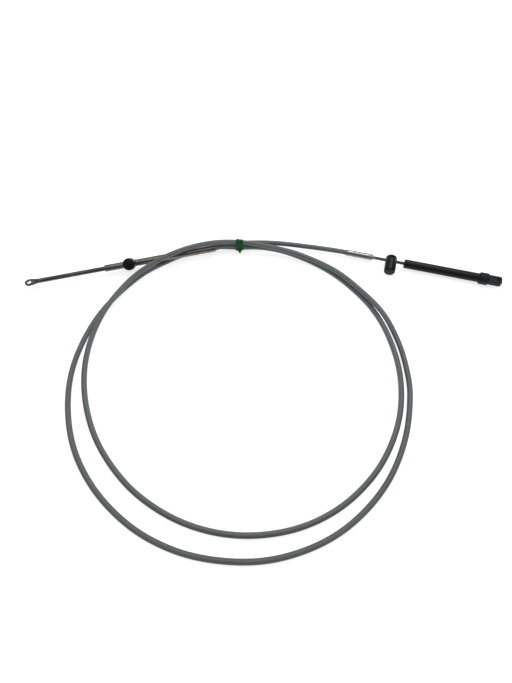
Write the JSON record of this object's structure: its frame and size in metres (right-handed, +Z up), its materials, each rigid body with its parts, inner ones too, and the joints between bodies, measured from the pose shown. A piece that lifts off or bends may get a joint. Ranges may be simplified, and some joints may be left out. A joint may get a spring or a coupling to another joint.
{
  "type": "throttle and shift cable",
  "caption": "Marine push-pull control cable lying in two tied loops: grey plastic conduit, steel rod with an eye at one end, black guide sleeve and fitting at the other, a barrel near each",
  "frame": {"origin": "on the floor under the centre of the part's bounding box, as the cable lies", "axes": "+Z up, +X from the control end to the engine end, +Y from the loops' open side to the tie"},
  "size_m": [0.6722, 0.4438, 0.0319],
  "materials": {
    "grey_jacket": "smooth extruded plastic, semi-matte, cool grey",
    "steel": "drawn stainless tube with fine lines along it",
    "dark_steel": "duller drawn stainless",
    "black_plastic": "moulded plastic, satin",
    "green_tie": "plastic-coated tie, dark green"
  },
  "bodies": {
    "conduit": {"conduit_jacket": "grey_jacket", "core_wire": "steel", "twist_tie": "green_tie", "control_hub_sleeve": "steel", "control_support_tube": "steel", "engine_hub_sleeve": "steel", "engine_threaded_tube": "dark_steel"},
    "control_rod": {"control_rod": "dark_steel"},
    "engine_end": {"engine_rod": "steel", "engine_guide_sleeve": "black_plastic", "engine_end_fitting": "black_plastic"},
    "control_barrel": {"control_barrel": "black_plastic"},
    "engine_barrel": {"engine_barrel": "black_plastic"}
  },
  "joints": [
    {"name": "control_rod_slide", "type": "slide", "parent": "conduit", "child": "control_rod", "axis": [-0.9747, -0.2232, -0.0133], "range_m": [-0.07, 0.006]},
    {"name": "engine_end_slide", "type": "slide", "parent": "conduit", "child": "engine_end", "axis": [0.969, -0.247, 0.0051], "range_m": [-0.006, 0.07]},
    {"name": "control_barrel_turn", "type": "hinge", "parent": "conduit", "child": "control_barrel", "pos_m": [-0.19176, 0.17672, 0.01145], "axis": [-0.9747, -0.2232, -0.0133], "range_deg": [-15, 130]},
    {"name": "engine_barrel_turn", "type": "hinge", "parent": "conduit", "child": "engine_barrel", "pos_m": [0.18466, 0.18465, 0.00813], "axis": [0.969, -0.247, 0.0051], "continuous": true}
  ],
  "couplings": [
    {"joint": "engine_end_slide", "follows": "control_rod_slide", "ratio": -1}
  ]
}
